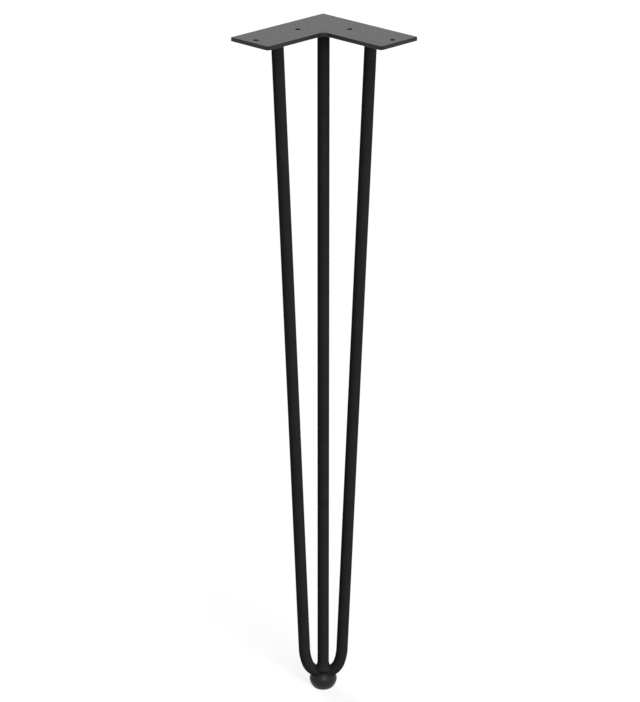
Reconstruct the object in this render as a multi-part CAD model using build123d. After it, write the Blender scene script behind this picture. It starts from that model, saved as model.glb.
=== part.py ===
from build123d import *
from math import acos, atan2, cos, hypot, pi, radians, sin, sqrt
import os

# Hairpin table leg: an L-shaped screw plate, a bar bent into a U, a straight corner bar and a push-on foot.
# The origin is on the mounting face, straight above the foot. +Z is up, and the L opens towards -Y.

# Driving dimensions, in millimetres and degrees
LEG_HEIGHT = 710.0          # mounting face to the lowest point of the bent bar
ROD_DIAMETER = 12.0

ARM_LENGTH = 125.0          # outer corner of the L to the end of either arm
ARM_WIDTH = 50.0
PLATE_THICKNESS = 4.0
TIP_RADIUS = 0.8            # outer corner of the L and the outer corner of each arm's end
FRONT_CORNER_RADIUS = 4.0   # inner corner of each arm's end
NOTCH_RADIUS = 6.0          # inside corner of the L
PLATE_EDGE_RADIUS = 0.5     # all round the plate's two faces
HOLE_DIAMETER = 5.5
HOLE_END_MARGIN = 9.0       # outer hole's centre to the end of the arm
HOLE_NOTCH_MARGIN = 10.0    # inner hole's centre to the line of the other arm's inner edge

BEND_RADIUS = 17.5          # tight arc at the bottom of the U, measured to the bar's axis
BEND_HALF_TURN = 71.0       # how far the tight arc turns to either side of the bottom
EASE_RADIUS = 60.0          # wider arc that leads from the tight arc into each leg
COPE_DEPTH = 0.5            # how far the corner bar's cut end reaches below the top of the bend

PLATE_WELD_LEG = 4.0        # size of the bead along the bar and along the plate
PLATE_WELD_BULGE = 0.5      # how far the bead's face stands out from flat
FOOT_WELD_RISE = 8.0        # top of the bend to where the bead runs out on the corner bar
FOOT_WELD_BELLY = 0.5       # top of the bend to where the bead is full
FOOT_WELD_PROUD = 2.4       # how far the bead stands out from the corner bar there
FOOT_WELD_DROP = 1.9        # how far the bead runs down the front and back of the bend
FOOT_WELD_TUCK = 0.4        # how far its lower edge lies inside the corner bar's outline

SOLE_THICKNESS = 10.0       # floor to the lowest point of the bent bar
CHEEK_THICKNESS = 8.5       # widest ring of the foot, measured out from the bar's side
FOOT_WIDEST = 10.6          # floor to the widest ring
FOOT_SHOULDER_RADIUS = 6.0  # rounds the widest ring
FOOT_SOLE_RADIUS = 2.0      # rounds the edge of the flat sole
FOOT_GRIP = 0.4             # how far each cheek's lip closes in over the bar
FOOT_LIP_RADIUS = 2.0       # inner edge of each lip
FOOT_RIM_RADIUS = 0.4       # all round the mouth of the groove
FOOT_CLEARANCE = 0.1        # between the groove and the bar
FOOT_WELD_GAP = 1.2         # cheek tops to the lower edge of the foot weld

# Sizes that follow from the ones above
rod_radius = ROD_DIAMETER / 2
diagonal = sqrt(0.5)        # share of a length along either arm that lies along X, and along Y
arm_reach = ARM_LENGTH - ARM_WIDTH / 2
hole_reaches = (ARM_WIDTH / 2 + HOLE_NOTCH_MARGIN, arm_reach - HOLE_END_MARGIN)
leg_reach = sum(hole_reaches) / 2
underside = -PLATE_THICKNESS
bend_axis_height = -LEG_HEIGHT + rod_radius
bend_crown = bend_axis_height + rod_radius
floor = -LEG_HEIGHT - SOLE_THICKNESS


def on_arm(side, reach, height):
    """Point on an arm's centre line, side -1 for the left arm and 1 for the right one."""
    return Vector(side * reach * diagonal, -reach * diagonal, height)


# The bent bar lies in a plane that leans from the foot to the two arms. In it, x runs left to right
# and y runs up from the lowest point of the bar's axis.
leg_top = on_arm(1, leg_reach, underside)
bend_bottom = Vector(0, 0, bend_axis_height)
up_the_lean = Vector(0, leg_top.Y, leg_top.Z) - bend_bottom
lean_plane = Plane(bend_bottom, x_dir=(1, 0, 0), z_dir=Vector(1, 0, 0).cross(up_the_lean))
leg_half_spacing = leg_top.X
leg_rise = up_the_lean.length


def bend_points():
    """Right half of the bar's axis: end of the tight arc, middle and end of the easing arc, and the tilt."""
    turn = radians(BEND_HALF_TURN)
    tight_end = (BEND_RADIUS * sin(turn), BEND_RADIUS * (1 - cos(turn)))
    centre_x = tight_end[0] - EASE_RADIUS * sin(turn)
    centre_y = tight_end[1] + EASE_RADIUS * cos(turn)
    to_top_x = leg_half_spacing - centre_x
    to_top_y = leg_rise - centre_y
    tilt = acos(EASE_RADIUS / hypot(to_top_x, to_top_y)) - atan2(to_top_y, to_top_x)

    def on_easing_arc(angle):
        return (centre_x + EASE_RADIUS * cos(angle), centre_y + EASE_RADIUS * sin(angle))

    start_angle = turn - pi / 2
    return tight_end, on_easing_arc((start_angle - tilt) / 2), on_easing_arc(-tilt), tilt


def mirrored(point):
    return (-point[0], point[1])


def make_bar_axis():
    """The U, from above the left arm's underside, round the bend and up past the right arm's underside."""
    tight_end, ease_middle, ease_end, tilt = bend_points()
    overrun = ROD_DIAMETER
    leg_end = (leg_half_spacing + overrun * sin(tilt), leg_rise + overrun * cos(tilt))
    flat_axis = (
        Line(mirrored(leg_end), mirrored(ease_end))
        + ThreePointArc(mirrored(ease_end), mirrored(ease_middle), mirrored(tight_end))
        + ThreePointArc(mirrored(tight_end), (0, 0), tight_end)
        + ThreePointArc(tight_end, ease_middle, ease_end)
        + Line(ease_end, leg_end)
    )
    return lean_plane * flat_axis


def make_bent_bar(radius):
    """The bar of the given radius along the U, cut off flush with the plate's underside."""
    axis = make_bar_axis()
    left_top = lean_plane.from_local_coords((-leg_half_spacing, leg_rise, 0))
    left_leg = axis.edges().sort_by_distance(left_top)[0]
    section = Plane(left_leg @ 0, z_dir=left_leg % 0) * Circle(radius)
    return split(sweep(section, path=axis), bisect_by=Plane.XY.offset(underside), keep=Keep.BOTTOM)


def make_mounting_plate():
    """Flat L with rounded corners and edges, and two screw holes on each arm's centre line."""
    outer = ARM_WIDTH * diagonal
    corner = (0, outer)
    right_tip = (ARM_LENGTH * diagonal, outer - ARM_LENGTH * diagonal)
    right_front = (right_tip[0] - outer, right_tip[1] - outer)
    notch = (0, -outer)
    points = [corner, right_tip, right_front, notch, mirrored(right_front), mirrored(right_tip)]
    radii = [TIP_RADIUS, TIP_RADIUS, FRONT_CORNER_RADIUS, NOTCH_RADIUS, FRONT_CORNER_RADIUS, TIP_RADIUS]
    outline = make_face(FilletPolyline(*points, radius=radii, close=True))
    plate = extrude(outline, -PLATE_THICKNESS)
    faces = plate.faces().sort_by(Axis.Z)
    plate = fillet(faces[0].edges() + faces[-1].edges(), PLATE_EDGE_RADIUS)
    drill = Cylinder(HOLE_DIAMETER / 2, 2 * PLATE_THICKNESS)
    for side in (-1, 1):
        for reach in hole_reaches:
            plate -= Pos(on_arm(side, reach, underside / 2)) * drill
    return plate


def make_corner_rod(bent_bar):
    """Straight bar under the plate's corner, its lower end hollowed to sit on the bend."""
    end = bend_crown - COPE_DEPTH
    standing = (Align.CENTER, Align.CENTER, Align.MIN)
    bar = Pos(0, 0, end) * Cylinder(rod_radius, underside - end, align=standing)
    return bar - bent_bar


def make_plate_weld(axis_plane, bar):
    """Bead round a bar where it meets the plate. axis_plane has its origin there and z up the bar."""
    overrun = PLATE_WELD_LEG / 2
    low = (rod_radius, -PLATE_WELD_LEG)
    high = (rod_radius + PLATE_WELD_LEG + overrun, overrun)
    out = PLATE_WELD_BULGE * diagonal
    middle = ((low[0] + high[0]) / 2 + out, (low[1] + high[1]) / 2 - out)
    outline = ThreePointArc(low, middle, high) + Polyline(high, (0, high[1]), (0, low[1]), low)
    bead = axis_plane * revolve(Plane.XZ * make_face(outline), Axis.Z)
    return split(bead, bisect_by=Plane.XY.offset(underside), keep=Keep.BOTTOM) - bar


def make_foot_weld(bent_bar, corner_rod):
    """Collar round the corner bar's end that flares out over the top of the bend."""
    top = (rod_radius, FOOT_WELD_RISE)
    belly = (rod_radius + FOOT_WELD_PROUD, FOOT_WELD_BELLY)
    toe = (rod_radius - FOOT_WELD_TUCK, -FOOT_WELD_DROP)
    flare = TangentArc(top, belly, tangent=(0, -1))
    tuck = TangentArc(belly, toe, tangent=flare % 1)
    outline = flare + tuck + Polyline(toe, (0, toe[1]), (0, top[1]), top)
    collar = Pos(0, 0, bend_crown) * revolve(Plane.XZ * make_face(outline), Axis.Z)
    return collar - bent_bar - corner_rod


def make_foot_ball(cheek_top, mouth):
    """Round bowl on a flat sole, closed by a flatter dome that meets the groove at the cheeks' tops."""
    bowl_radius = rod_radius + CHEEK_THICKNESS
    sole_edge = (sqrt(bowl_radius**2 - FOOT_WIDEST**2), 0)
    widest = (bowl_radius, FOOT_WIDEST)
    lip = (mouth, cheek_top)
    rise = cheek_top - FOOT_WIDEST
    dome_centre = (cheek_top + FOOT_WIDEST - (bowl_radius**2 - mouth**2) / rise) / 2
    dome_top = (0, dome_centre + hypot(mouth, cheek_top - dome_centre))
    outline = (
        Line((0, 0), sole_edge)
        + TangentArc(widest, sole_edge, tangent=(0, -1))
        + ThreePointArc(widest, lip, dome_top)
        + Line(dome_top, (0, 0))
    )
    half = make_face(outline)
    half = fillet(half.vertices().sort_by(Axis.X)[-1], FOOT_SHOULDER_RADIUS)
    half = fillet(half.vertices().group_by(Axis.Y)[0].sort_by(Axis.X)[-1], FOOT_SOLE_RADIUS)
    return Pos(0, 0, floor) * revolve(Plane.XZ * half, Axis.Z)


def make_foot_groove(mouth):
    """Keyhole section, round below and narrower above, turned along the tight arc of the bend."""
    groove_radius = rod_radius + FOOT_CLEARANCE
    section = Circle(groove_radius) + Pos(0, BEND_RADIUS / 2) * Rectangle(2 * mouth, BEND_RADIUS)
    lips = section.vertices().group_by(Axis.Y)[0]
    section = fillet(lips, FOOT_LIP_RADIUS)
    across = Plane(bend_bottom, x_dir=lean_plane.z_dir, z_dir=-lean_plane.x_dir)
    bend_axis = Axis(lean_plane.from_local_coords((0, BEND_RADIUS, 0)), lean_plane.z_dir)
    start = (across * section).rotate(bend_axis, -BEND_HALF_TURN)
    return revolve(start, bend_axis, 2 * BEND_HALF_TURN)


def make_foot_cap():
    """Ball-like foot with a groove that snaps over the bend and is rounded all round its mouth."""
    mouth = rod_radius - FOOT_GRIP
    cheek_top = bend_crown - FOOT_WELD_DROP - FOOT_WELD_GAP - floor
    ball = make_foot_ball(cheek_top, mouth)
    groove = make_foot_groove(mouth)
    cap = ball - groove
    rim = new_edges(ball, groove, combined=cap)
    return fillet(rim, FOOT_RIM_RADIUS)


def make_parts():
    bent_bar = make_bent_bar(rod_radius)
    corner_rod = make_corner_rod(bent_bar)
    parts = {
        "mounting_plate": make_mounting_plate(),
        "hairpin_rod": bent_bar,
        "corner_rod": corner_rod,
        "foot_weld": make_foot_weld(bent_bar, corner_rod),
        "foot_cap": make_foot_cap(),
    }
    tilt = bend_points()[3]
    for name, side in (("left", -1), ("right", 1)):
        up_the_leg = lean_plane.x_dir * (side * sin(tilt)) + lean_plane.y_dir * cos(tilt)
        leg_plane = Plane(on_arm(side, leg_reach, underside), z_dir=up_the_leg)
        parts[f"plate_weld_{name}"] = make_plate_weld(leg_plane, bent_bar)
    parts["plate_weld_corner"] = make_plate_weld(Plane.XY.offset(underside), corner_rod)
    return parts


os.makedirs("parts", exist_ok=True)
for node, solid in make_parts().items():
    export_step(solid, f"parts/{node}.step")
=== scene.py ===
import math

import bpy
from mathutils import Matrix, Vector, noise


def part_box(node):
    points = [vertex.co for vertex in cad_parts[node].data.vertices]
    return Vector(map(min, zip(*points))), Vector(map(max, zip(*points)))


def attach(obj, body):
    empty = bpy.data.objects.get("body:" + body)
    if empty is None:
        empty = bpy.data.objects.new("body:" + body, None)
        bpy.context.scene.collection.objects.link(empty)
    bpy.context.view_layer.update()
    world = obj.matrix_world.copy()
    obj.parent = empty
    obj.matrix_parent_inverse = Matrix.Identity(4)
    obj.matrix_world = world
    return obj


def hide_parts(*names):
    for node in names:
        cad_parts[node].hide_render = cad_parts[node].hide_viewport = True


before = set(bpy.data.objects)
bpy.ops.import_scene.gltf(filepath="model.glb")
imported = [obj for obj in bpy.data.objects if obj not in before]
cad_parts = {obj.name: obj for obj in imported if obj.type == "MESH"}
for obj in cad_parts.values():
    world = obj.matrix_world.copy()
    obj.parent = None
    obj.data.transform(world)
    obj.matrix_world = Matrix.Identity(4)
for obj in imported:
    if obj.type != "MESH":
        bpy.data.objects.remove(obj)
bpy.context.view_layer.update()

# The leg's own sizes, in metres and radians
ROD_RADIUS = 0.006
LEG_REACH = 0.063             # from the corner bar to each side bar, along an arm
BEND_RADIUS = 0.0175
BEND_HALF_TURN = math.radians(71)
EASE_RADIUS = 0.060
COPE_DEPTH = 0.0005
SOLE_THICKNESS = 0.010

PLATE_WELD_LEG = 0.004
PLATE_WELD_BULGE = 0.0005
FOOT_WELD_RISE = 0.008
FOOT_WELD_BELLY = 0.0005
FOOT_WELD_PROUD = 0.0024
FOOT_WELD_DROP = 0.0019
FOOT_WELD_TUCK = 0.0004
SEAT = 0.0002                 # how far a bead's hidden side is let into the bar

# How far the beads' edges wander, and how quickly round a bar
PLATE_WELD_WAVER = 0.0004
FOOT_RISE_WAVER = 0.0009
FOOT_PROUD_WAVER = 0.00045
WAVER_SPEED = 1.5
BEAD_SEEDS = {"left": 1, "right": 3, "corner": 5, "foot": 7}
OTHER_EDGE = 0.5              # added to a bead's seed for its second edge

# Weld ripples
RIPPLE_PITCH = 0.0019
PLATE_RIPPLE_HEIGHT = 0.00022
FOOT_RIPPLE_HEIGHT = 0.00010
RIPPLE_SPEED = 3              # how quickly they change round a bar
RIPPLE_SLIP = 1.2             # how far they leave their even places, in radians of their wave
RIPPLE_SHARE = 0.8            # how much of their height they have on average
RIPPLE_SPREAD = 0.4           # how much that varies
CRESCENT = 5.0                # how far a ripple's ends trail behind its middle, in radians of its wave

# Fineness of the new meshes
ROUND_STEPS = 64
BEND_STEPS = 40
EASE_STEPS = 12
LEG_STEPS = 6
END_RINGS = (0.02, 0.5, 1)    # of the corner bar's hollowed end, as shares of its radius
HALVINGS = 40                 # to find the bend's surface
BEAD_STEPS = 224
BEAD_FACE_STEPS = 12
PROFILE_STEPS = 40
TOE_STEPS = 20
SHARP_ANGLE = math.radians(50)

# Finishes: darkest and lightest colour, least and most roughness, and gloss
ROD_COAT = {
    "dark": (0.013, 0.013, 0.013), "light": (0.016, 0.016, 0.016),
    "smooth": 0.60, "rough": 0.66, "gloss": 0.02,
}
WELD_COAT = {
    "dark": (0.012, 0.012, 0.012), "light": (0.015, 0.015, 0.015),
    "smooth": 0.46, "rough": 0.54, "gloss": 0.06,
}
PLATE_COAT = {
    "dark": (0.007, 0.007, 0.0073), "light": (0.010, 0.010, 0.0104),
    "smooth": 0.30, "rough": 0.36, "gloss": 0.29,
}
RUBBER = {
    "dark": (0.009, 0.009, 0.009), "light": (0.0125, 0.0125, 0.0125),
    "smooth": 0.32, "rough": 0.38, "gloss": 0.19,
}

# Sizes of what a finish shows, in metres
MOTTLE_SIZE = 0.018
BLOTCH_SIZE = 0.006
PEEL_SIZE = 0.0016
PEEL_HEIGHT = 0.00003
GRAIN_SIZE = 0.00035
GRAIN_HEIGHT = 0.000012
BLOOM_SIZE = 0.007
RUBBER_GRAIN_SIZE = 0.0005
RUBBER_GRAIN_HEIGHT = 0.00003
NOISE_RANGE = (0.3, 0.7)      # where most of a noise's values lie

# Camera, as the photograph was taken
IMAGE_HEIGHT = 702
FOCAL_PIXELS = 2796
SENSOR_HEIGHT = 36            # in millimetres
CAMERA_PLACE = (-0.0301, -2.6232, 0.6897)
CAMERA_PITCH = math.radians(21.43)
CAMERA_YAW = math.radians(0.584)

# Floor and world
FLOOR_SIZE = 40.0
FLOOR_PALE = 0.30
FLOOR_GLOW = 0.80
WORLD_FILL = 0.04
WORLD_SEEN = 1.0

# Lamps: strength, then degrees to the right of the camera, above the floor, and across
KEY = {"strength": 3.5, "right": 34, "up": 9, "wide": 24}
TOP = {"strength": 1.1, "right": 15, "up": 55, "wide": 22}
BACK = {"strength": 2.4, "right": 210, "up": 20, "wide": 40}

# Places that the pieces share
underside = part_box("mounting_plate")[0].z
floor_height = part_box("foot_cap")[0].z
bend_bottom = Vector((0, 0, floor_height + SOLE_THICKNESS + ROD_RADIUS))
crown = bend_bottom.z + ROD_RADIUS
leg_offset = LEG_REACH * math.sqrt(0.5)

# The bent bar's plane: across runs left to right, up_lean from the bend to the arms, out is square to both
lean = Vector((0, -leg_offset, underside)) - bend_bottom
leg_rise = lean.length
across = Vector((1, 0, 0))
up_lean = lean.normalized()
out = across.cross(up_lean)


def steps_between(first, last, count):
    """Evenly spaced values from first to last, both included."""
    return [first + (last - first) * i / count for i in range(count + 1)]


def circle_angles(count):
    """Evenly spaced angles round a full turn."""
    return [2 * math.pi * i / count for i in range(count)]


def half_axis():
    """Places and angles of the bar's axis in its plane, from the bottom of the bend to the right arm."""
    centre_x = (BEND_RADIUS - EASE_RADIUS) * math.sin(BEND_HALF_TURN)
    centre_y = BEND_RADIUS - (BEND_RADIUS - EASE_RADIUS) * math.cos(BEND_HALF_TURN)
    to_top = Vector((leg_offset - centre_x, leg_rise - centre_y))
    tilt = math.acos(EASE_RADIUS / to_top.length) - math.atan2(to_top.y, to_top.x)
    rows = []
    for angle in steps_between(0, BEND_HALF_TURN, BEND_STEPS):
        place = (BEND_RADIUS * math.sin(angle), BEND_RADIUS * (1 - math.cos(angle)))
        rows.append((place, angle))
    for angle in steps_between(BEND_HALF_TURN, math.pi / 2 - tilt, EASE_STEPS)[1:]:
        place = (centre_x + EASE_RADIUS * math.sin(angle), centre_y - EASE_RADIUS * math.cos(angle))
        rows.append((place, angle))
    start = Vector(rows[-1][0])
    end = Vector((leg_offset, leg_rise))
    for share in steps_between(0, 1, LEG_STEPS)[1:]:
        rows.append((tuple(start.lerp(end, share)), math.pi / 2 - tilt))
    return rows, tilt


axis_rows, leg_tilt = half_axis()


def leg_direction(side):
    """Up along the left (-1) or right (1) leg of the U."""
    return across * side * math.sin(leg_tilt) + up_lean * math.cos(leg_tilt)


def up_to_plate(point, along):
    """The point, moved along a bar's direction to the plate's underside."""
    return point + along * ((underside - point.z) / along.z)


def depth_in_bend(point):
    """How deep a point lies inside the bent bar near its bend, negative outside."""
    away = point - bend_bottom
    x, y, z = away.dot(across), away.dot(up_lean), away.dot(out)
    from_axis = math.hypot(math.hypot(x, y - BEND_RADIUS) - BEND_RADIUS, z)
    return ROD_RADIUS - from_axis


def bend_top(x, y):
    """Height of the bend's upper surface at x, y."""
    low, high = crown - ROD_RADIUS, crown + ROD_RADIUS
    for _ in range(HALVINGS):
        middle = (low + high) / 2
        if depth_in_bend(Vector((x, y, middle))) > 0:
            low = middle
        else:
            high = middle
    return low


def mesh_from_rings(name, rings, closed=False):
    """Skin over rings of equally many points.

    Closed joins the last ring to the first, else both ends are capped.
    """
    count = len(rings[0])
    verts = [point for ring in rings for point in ring]
    faces = []
    pairs = len(rings) if closed else len(rings) - 1
    for i in range(pairs):
        a, b = i * count, (i + 1) % len(rings) * count
        for j in range(count):
            k = (j + 1) % count
            faces.append((a + j, a + k, b + k, b + j))
    if not closed:
        faces.append(tuple(range(count))[::-1])
        faces.append(tuple(range(len(verts) - count, len(verts))))
    mesh = bpy.data.meshes.new(name)
    mesh.from_pydata(verts, [], faces)
    mesh.validate()
    mesh.shade_smooth()
    mesh.set_sharp_from_angle(angle=SHARP_ANGLE)
    obj = bpy.data.objects.new(name, mesh)
    bpy.context.scene.collection.objects.link(obj)
    return obj


def make_bent_bar():
    """Round bar along the whole U, with both ends cut flat under the plate."""
    mirrored = [((-x, y), -angle) for (x, y), angle in reversed(axis_rows[1:])]
    rings = []
    for (x, y), angle in mirrored + axis_rows:
        middle = bend_bottom + across * x + up_lean * y
        side = up_lean * math.cos(angle) - across * math.sin(angle)
        ring = []
        for turn in circle_angles(ROUND_STEPS):
            ring.append(middle + side * ROD_RADIUS * math.cos(turn) + out * ROD_RADIUS * math.sin(turn))
        rings.append(ring)
    rings[0] = [up_to_plate(point, leg_direction(-1)) for point in rings[0]]
    rings[-1] = [up_to_plate(point, leg_direction(1)) for point in rings[-1]]
    return mesh_from_rings("bent_bar", rings)


def make_corner_bar():
    """Straight bar with its lower end hollowed to sit on the bend."""
    rings = []
    for share in END_RINGS:
        radius = share * ROD_RADIUS
        ring = []
        for turn in circle_angles(ROUND_STEPS):
            x, y = radius * math.cos(turn), radius * math.sin(turn)
            ring.append(Vector((x, y, max(crown - COPE_DEPTH, bend_top(x, y)))))
        rings.append(ring)
    rings.append([Vector((point.x, point.y, underside)) for point in rings[-1]])
    return mesh_from_rings("corner_bar", rings)


def uneven_round(turn, speed, seed):
    """Smooth unevenness round a bar, from -1 to 1."""
    return noise.noise(Vector((speed * math.cos(turn), speed * math.sin(turn), seed)))


def ripple(turn, share, count, seed):
    """Crescent waves along a bead, from about -1 to 1. Share runs across the bead from 0 to 1."""
    uneven = uneven_round(turn, RIPPLE_SPEED, seed)
    phase = count * turn + RIPPLE_SLIP * uneven - CRESCENT * (2 * share - 1) ** 2
    return math.cos(phase) * (RIPPLE_SHARE + RIPPLE_SPREAD * uneven)


def ripple_count(radius):
    """How many ripples go round a bead of this radius."""
    return round(2 * math.pi * radius / RIPPLE_PITCH)


def make_plate_bead(name, centre, along, seed):
    """Bead round a bar under the plate. Centre is where the bar's axis meets it, along points up the bar."""
    first = along.orthogonal().normalized()
    second = along.cross(first)
    count = ripple_count(ROD_RADIUS + PLATE_WELD_LEG)
    rings = []
    for turn in circle_angles(BEAD_STEPS):
        away = first * math.cos(turn) + second * math.sin(turn)
        down = PLATE_WELD_LEG + PLATE_WELD_WAVER * uneven_round(turn, WAVER_SPEED, seed + OTHER_EDGE)
        sideways = PLATE_WELD_LEG + PLATE_WELD_WAVER * uneven_round(turn, WAVER_SPEED, seed)
        low = centre + away * ROD_RADIUS - along * down
        high = up_to_plate(centre + away * (ROD_RADIUS + sideways), along)
        proud = (away - along).normalized()
        ring = []
        for share in steps_between(0, 1, BEAD_FACE_STEPS):
            swell = 4 * share * (1 - share)
            rise = PLATE_WELD_BULGE * swell
            rise += PLATE_RIPPLE_HEIGHT * math.sqrt(swell) * ripple(turn, share, count, seed)
            point = high.lerp(low, share) + proud * rise
            point.z = min(point.z, underside)
            ring.append(point)
        ring.append(low - away * SEAT)
        ring.append(up_to_plate(centre + away * (ROD_RADIUS - SEAT), along))
        rings.append(ring)
    return mesh_from_rings(name, rings, closed=True)


def turned(flat, angle):
    """A vector of the plane, turned to the left."""
    across_part = flat.x * math.cos(angle) - flat.y * math.sin(angle)
    up_part = flat.x * math.sin(angle) + flat.y * math.cos(angle)
    return Vector((across_part, up_part))


def arc_points(start, direction, end):
    """Arc in a plane that leaves start in a direction and ends at end: its points and its last direction."""
    normal = Vector((-direction.y, direction.x))
    chord = end - start
    radius = chord.length_squared / (2 * normal.dot(chord))
    centre = start + normal * radius
    sweep = 2 * math.atan2(normal.dot(chord), direction.dot(chord))
    points = [centre + turned(start - centre, angle) for angle in steps_between(0, sweep, PROFILE_STEPS)]
    return points, turned(direction, sweep)


def resampled(points, count):
    """The polyline again, with its length shared evenly over count steps."""
    lengths = [0.0]
    for a, b in zip(points, points[1:]):
        lengths.append(lengths[-1] + (b - a).length)
    result = []
    segment = 0
    for target in steps_between(0, lengths[-1], count):
        while segment < len(points) - 2 and lengths[segment + 1] < target:
            segment += 1
        span = lengths[segment + 1] - lengths[segment]
        share = (target - lengths[segment]) / span if span else 0.0
        result.append(points[segment].lerp(points[segment + 1], min(share, 1.0)))
    return result


def foot_bead_profile(rise, proud):
    """Radius and height above the crown: down the flare, round the belly to the toe, then in to the bend."""
    top = Vector((ROD_RADIUS, rise))
    belly = Vector((ROD_RADIUS + proud, FOOT_WELD_BELLY))
    toe = Vector((ROD_RADIUS - FOOT_WELD_TUCK, -FOOT_WELD_DROP))
    inmost = Vector((ROD_RADIUS / 2, toe.y))
    flare, heading = arc_points(top, Vector((0, -1)), belly)
    tuck, _ = arc_points(belly, heading, toe)
    inward = [toe.lerp(inmost, share) for share in steps_between(0, 1, TOE_STEPS)]
    return flare + tuck[1:] + inward[1:]


def make_foot_bead(seed):
    """Collar that joins the corner bar to the bend, with its hidden side let into both bars."""
    count = ripple_count(ROD_RADIUS + FOOT_WELD_PROUD)
    rings = []
    for turn in circle_angles(BEAD_STEPS):
        away = Vector((math.cos(turn), math.sin(turn), 0))
        rise = FOOT_WELD_RISE + FOOT_RISE_WAVER * uneven_round(turn, WAVER_SPEED, seed)
        proud = FOOT_WELD_PROUD + FOOT_PROUD_WAVER * uneven_round(turn, WAVER_SPEED, seed + OTHER_EDGE)
        path = []
        for flat in foot_bead_profile(rise, proud):
            point = away * flat.x + Vector((0, 0, crown + flat.y))
            path.append(point)
            if depth_in_bend(point) > SEAT:
                break
        path = resampled(path, 2 * BEAD_FACE_STEPS)
        ring = []
        for i, point in enumerate(path):
            share = i / (len(path) - 1)
            swell = math.sin(math.pi * share) ** 2
            ring.append(point + away * FOOT_RIPPLE_HEIGHT * swell * ripple(turn, share, count, seed))
        ring.append(away * (ROD_RADIUS / 2) + Vector((0, 0, crown - COPE_DEPTH / 2)))
        ring.append(away * (ROD_RADIUS - SEAT) + Vector((0, 0, crown + rise)))
        rings.append(ring)
    return mesh_from_rings("foot_weld_bead", rings, closed=True)


class Finish:
    """Short way to add and link the nodes of one material."""

    def __init__(self, name):
        self.material = bpy.data.materials.new(name)
        self.material.use_nodes = True
        self.tree = self.material.node_tree
        self.shader = self.tree.nodes["Principled BSDF"]
        self.place = self.tree.nodes.new("ShaderNodeTexCoord").outputs["Object"]

    def link(self, source, target):
        self.tree.links.new(source, target)

    def noise(self, size, detail):
        """Noise with features of about this size in metres, from 0 to 1."""
        node = self.tree.nodes.new("ShaderNodeTexNoise")
        node.inputs["Scale"].default_value = 1 / size
        node.inputs["Detail"].default_value = detail
        self.link(self.place, node.inputs["Vector"])
        return node.outputs["Fac"]

    def spread(self, source, low, high):
        """Maps most of a noise's values to low..high."""
        node = self.tree.nodes.new("ShaderNodeMapRange")
        node.inputs["From Min"].default_value, node.inputs["From Max"].default_value = NOISE_RANGE
        node.inputs["To Min"].default_value = low
        node.inputs["To Max"].default_value = high
        self.link(source, node.inputs["Value"])
        return node.outputs["Result"]

    def colours(self, source, dark, light):
        """Mixes the two colours by the source."""
        node = self.tree.nodes.new("ShaderNodeMix")
        node.data_type = "RGBA"
        node.inputs["A"].default_value = (*dark, 1)
        node.inputs["B"].default_value = (*light, 1)
        self.link(source, node.inputs["Factor"])
        self.link(node.outputs["Result"], self.shader.inputs["Base Color"])

    def bump(self, source, height, before=None):
        """Raises the surface by the source, on top of an earlier bump if there is one."""
        node = self.tree.nodes.new("ShaderNodeBump")
        node.inputs["Strength"].default_value = 1.0
        node.inputs["Distance"].default_value = height
        self.link(source, node.inputs["Height"])
        if before:
            self.link(before, node.inputs["Normal"])
        return node.outputs["Normal"]


def powder_coat(name, dark, light, smooth, rough, gloss):
    """Satin black powder coat: faint mottling, orange peel and a fine grain."""
    coat = Finish(name)
    mottle = coat.noise(MOTTLE_SIZE, detail=3)
    blotch = coat.noise(BLOTCH_SIZE, detail=3)
    peel = coat.noise(PEEL_SIZE, detail=2)
    grain = coat.noise(GRAIN_SIZE, detail=1)
    coat.colours(coat.spread(mottle, 0, 1), dark, light)
    coat.link(coat.spread(blotch, smooth, rough), coat.shader.inputs["Roughness"])
    coat.shader.inputs["Specular IOR Level"].default_value = gloss
    peeled = coat.bump(peel, PEEL_HEIGHT)
    grained = coat.bump(grain, GRAIN_HEIGHT, before=peeled)
    coat.link(grained, coat.shader.inputs["Normal"])
    return coat.material


def moulded_rubber(name, dark, light, smooth, rough, gloss):
    """Black rubber with a fine spark-eroded grain and a faint bloom."""
    rubber = Finish(name)
    bloom = rubber.noise(BLOOM_SIZE, detail=3)
    grain = rubber.noise(RUBBER_GRAIN_SIZE, detail=2)
    rubber.colours(rubber.spread(bloom, 0, 1), dark, light)
    rubber.link(rubber.spread(bloom, smooth, rough), rubber.shader.inputs["Roughness"])
    rubber.shader.inputs["Specular IOR Level"].default_value = gloss
    rubber.link(rubber.bump(grain, RUBBER_GRAIN_HEIGHT), rubber.shader.inputs["Normal"])
    return rubber.material


def dress(obj, material):
    """Gives an object this one material."""
    obj.data.materials.clear()
    obj.data.materials.append(material)


def add_piece(obj, material, node):
    """Finishes a new piece and puts it in the place of a solid."""
    dress(obj, material)
    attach(obj, "root")
    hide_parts(node)


def seen_or_mirrored(tree, other, seen):
    """A strength that is one value for camera, glossy and transmission rays, and another for the rest."""
    path = tree.nodes.new("ShaderNodeLightPath")
    either = path.outputs["Is Camera Ray"]
    for kind in ("Is Glossy Ray", "Is Transmission Ray"):
        node = tree.nodes.new("ShaderNodeMath")
        node.operation = "MAXIMUM"
        tree.links.new(either, node.inputs[0])
        tree.links.new(path.outputs[kind], node.inputs[1])
        either = node.outputs[0]
    strength = tree.nodes.new("ShaderNodeMapRange")
    strength.inputs["To Min"].default_value = other
    strength.inputs["To Max"].default_value = seen
    tree.links.new(either, strength.inputs["Value"])
    return strength.outputs["Result"]


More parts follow.
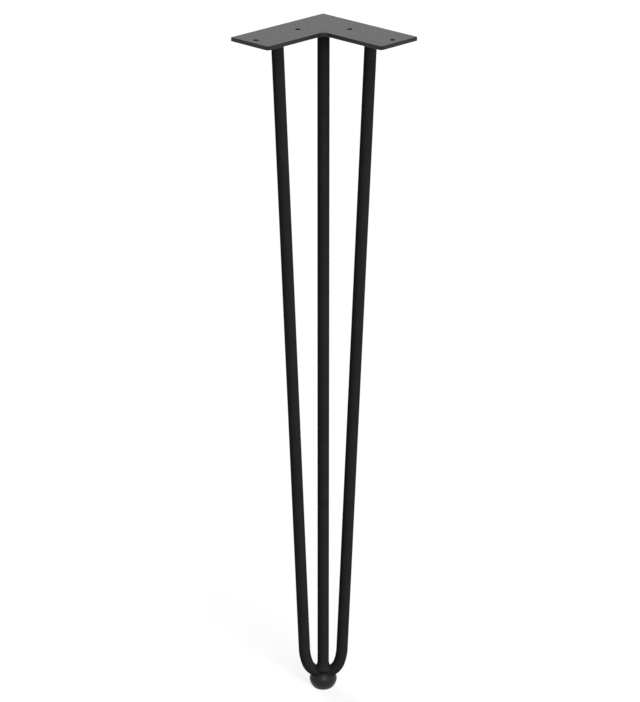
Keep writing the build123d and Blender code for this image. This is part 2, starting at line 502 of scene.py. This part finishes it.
def make_floor():
    """Pale floor. Where it is seen or mirrored, a glow adds what it lacks to white, in shadows too."""
    bpy.ops.mesh.primitive_plane_add(size=FLOOR_SIZE, location=(0, 0, floor_height))
    floor = bpy.context.object
    floor.name = "floor"
    paper = bpy.data.materials.new("floor_paper")
    paper.use_nodes = True
    shader = paper.node_tree.nodes["Principled BSDF"]
    shader.inputs["Base Color"].default_value = (FLOOR_PALE, FLOOR_PALE, FLOOR_PALE, 1)
    shader.inputs["Roughness"].default_value = 1.0
    shader.inputs["Specular IOR Level"].default_value = 0.0
    shader.inputs["Emission Color"].default_value = (1, 1, 1, 1)
    glow = seen_or_mirrored(paper.node_tree, 0.0, FLOOR_GLOW)
    paper.node_tree.links.new(glow, shader.inputs["Emission Strength"])
    dress(floor, paper)


def make_world():
    """White where it is seen or mirrored, a softer fill where it lights."""
    world = bpy.data.worlds.new("studio")
    bpy.context.scene.world = world
    world.use_nodes = True
    background = world.node_tree.nodes["Background"]
    background.inputs["Color"].default_value = (1, 1, 1, 1)
    strength = seen_or_mirrored(world.node_tree, WORLD_FILL, WORLD_SEEN)
    world.node_tree.links.new(strength, background.inputs["Strength"])


def add_lamp(name, strength, right, up, wide, mirrored=False):
    """Broad sun-like lamp, the same all over the floor. Its place and width are in degrees."""
    lamp = bpy.data.lights.new(name, "SUN")
    lamp.energy = strength
    lamp.angle = math.radians(wide)
    obj = bpy.data.objects.new(name, lamp)
    bpy.context.scene.collection.objects.link(obj)
    right, up = math.radians(right), math.radians(up)
    towards = Vector((math.cos(up) * math.sin(right), -math.cos(up) * math.cos(right), math.sin(up)))
    obj.rotation_euler = towards.to_track_quat("Z", "Y").to_euler()
    obj.visible_glossy = mirrored


def make_camera():
    """Camera in the photograph's place. The sensor goes by the image's longer side, which is its height."""
    data = bpy.data.cameras.new("camera")
    data.sensor_width = SENSOR_HEIGHT
    data.lens = SENSOR_HEIGHT * FOCAL_PIXELS / IMAGE_HEIGHT
    camera = bpy.data.objects.new("camera", data)
    bpy.context.scene.collection.objects.link(camera)
    camera.location = CAMERA_PLACE
    camera.rotation_euler = (math.pi / 2 - CAMERA_PITCH, 0, -CAMERA_YAW)
    bpy.context.scene.camera = camera


# Finishes
rod_coat = powder_coat("rod_coat", **ROD_COAT)
weld_coat = powder_coat("weld_coat", **WELD_COAT)
plate_coat = powder_coat("plate_coat", **PLATE_COAT)
foot_rubber = moulded_rubber("foot_rubber", **RUBBER)

# Bars
add_piece(make_bent_bar(), rod_coat, "hairpin_rod")
add_piece(make_corner_bar(), rod_coat, "corner_rod")

# Welds: where each bar's axis meets the plate, and the bar's direction there
bar_ends = {
    "left": (Vector((-leg_offset, -leg_offset, underside)), leg_direction(-1)),
    "right": (Vector((leg_offset, -leg_offset, underside)), leg_direction(1)),
    "corner": (Vector((0, 0, underside)), Vector((0, 0, 1))),
}
for name, (centre, along) in bar_ends.items():
    bead = make_plate_bead(f"plate_bead_{name}", centre, along, BEAD_SEEDS[name])
    add_piece(bead, weld_coat, f"plate_weld_{name}")
add_piece(make_foot_bead(BEAD_SEEDS["foot"]), weld_coat, "foot_weld")

# Solids that show as they are
dress(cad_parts["mounting_plate"], plate_coat)
dress(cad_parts["foot_cap"], foot_rubber)

# Stage
make_floor()
make_world()
add_lamp("key", **KEY)
add_lamp("top", **TOP, mirrored=True)
add_lamp("back", **BACK)
make_camera()
bpy.context.scene.view_settings.view_transform = "Standard"
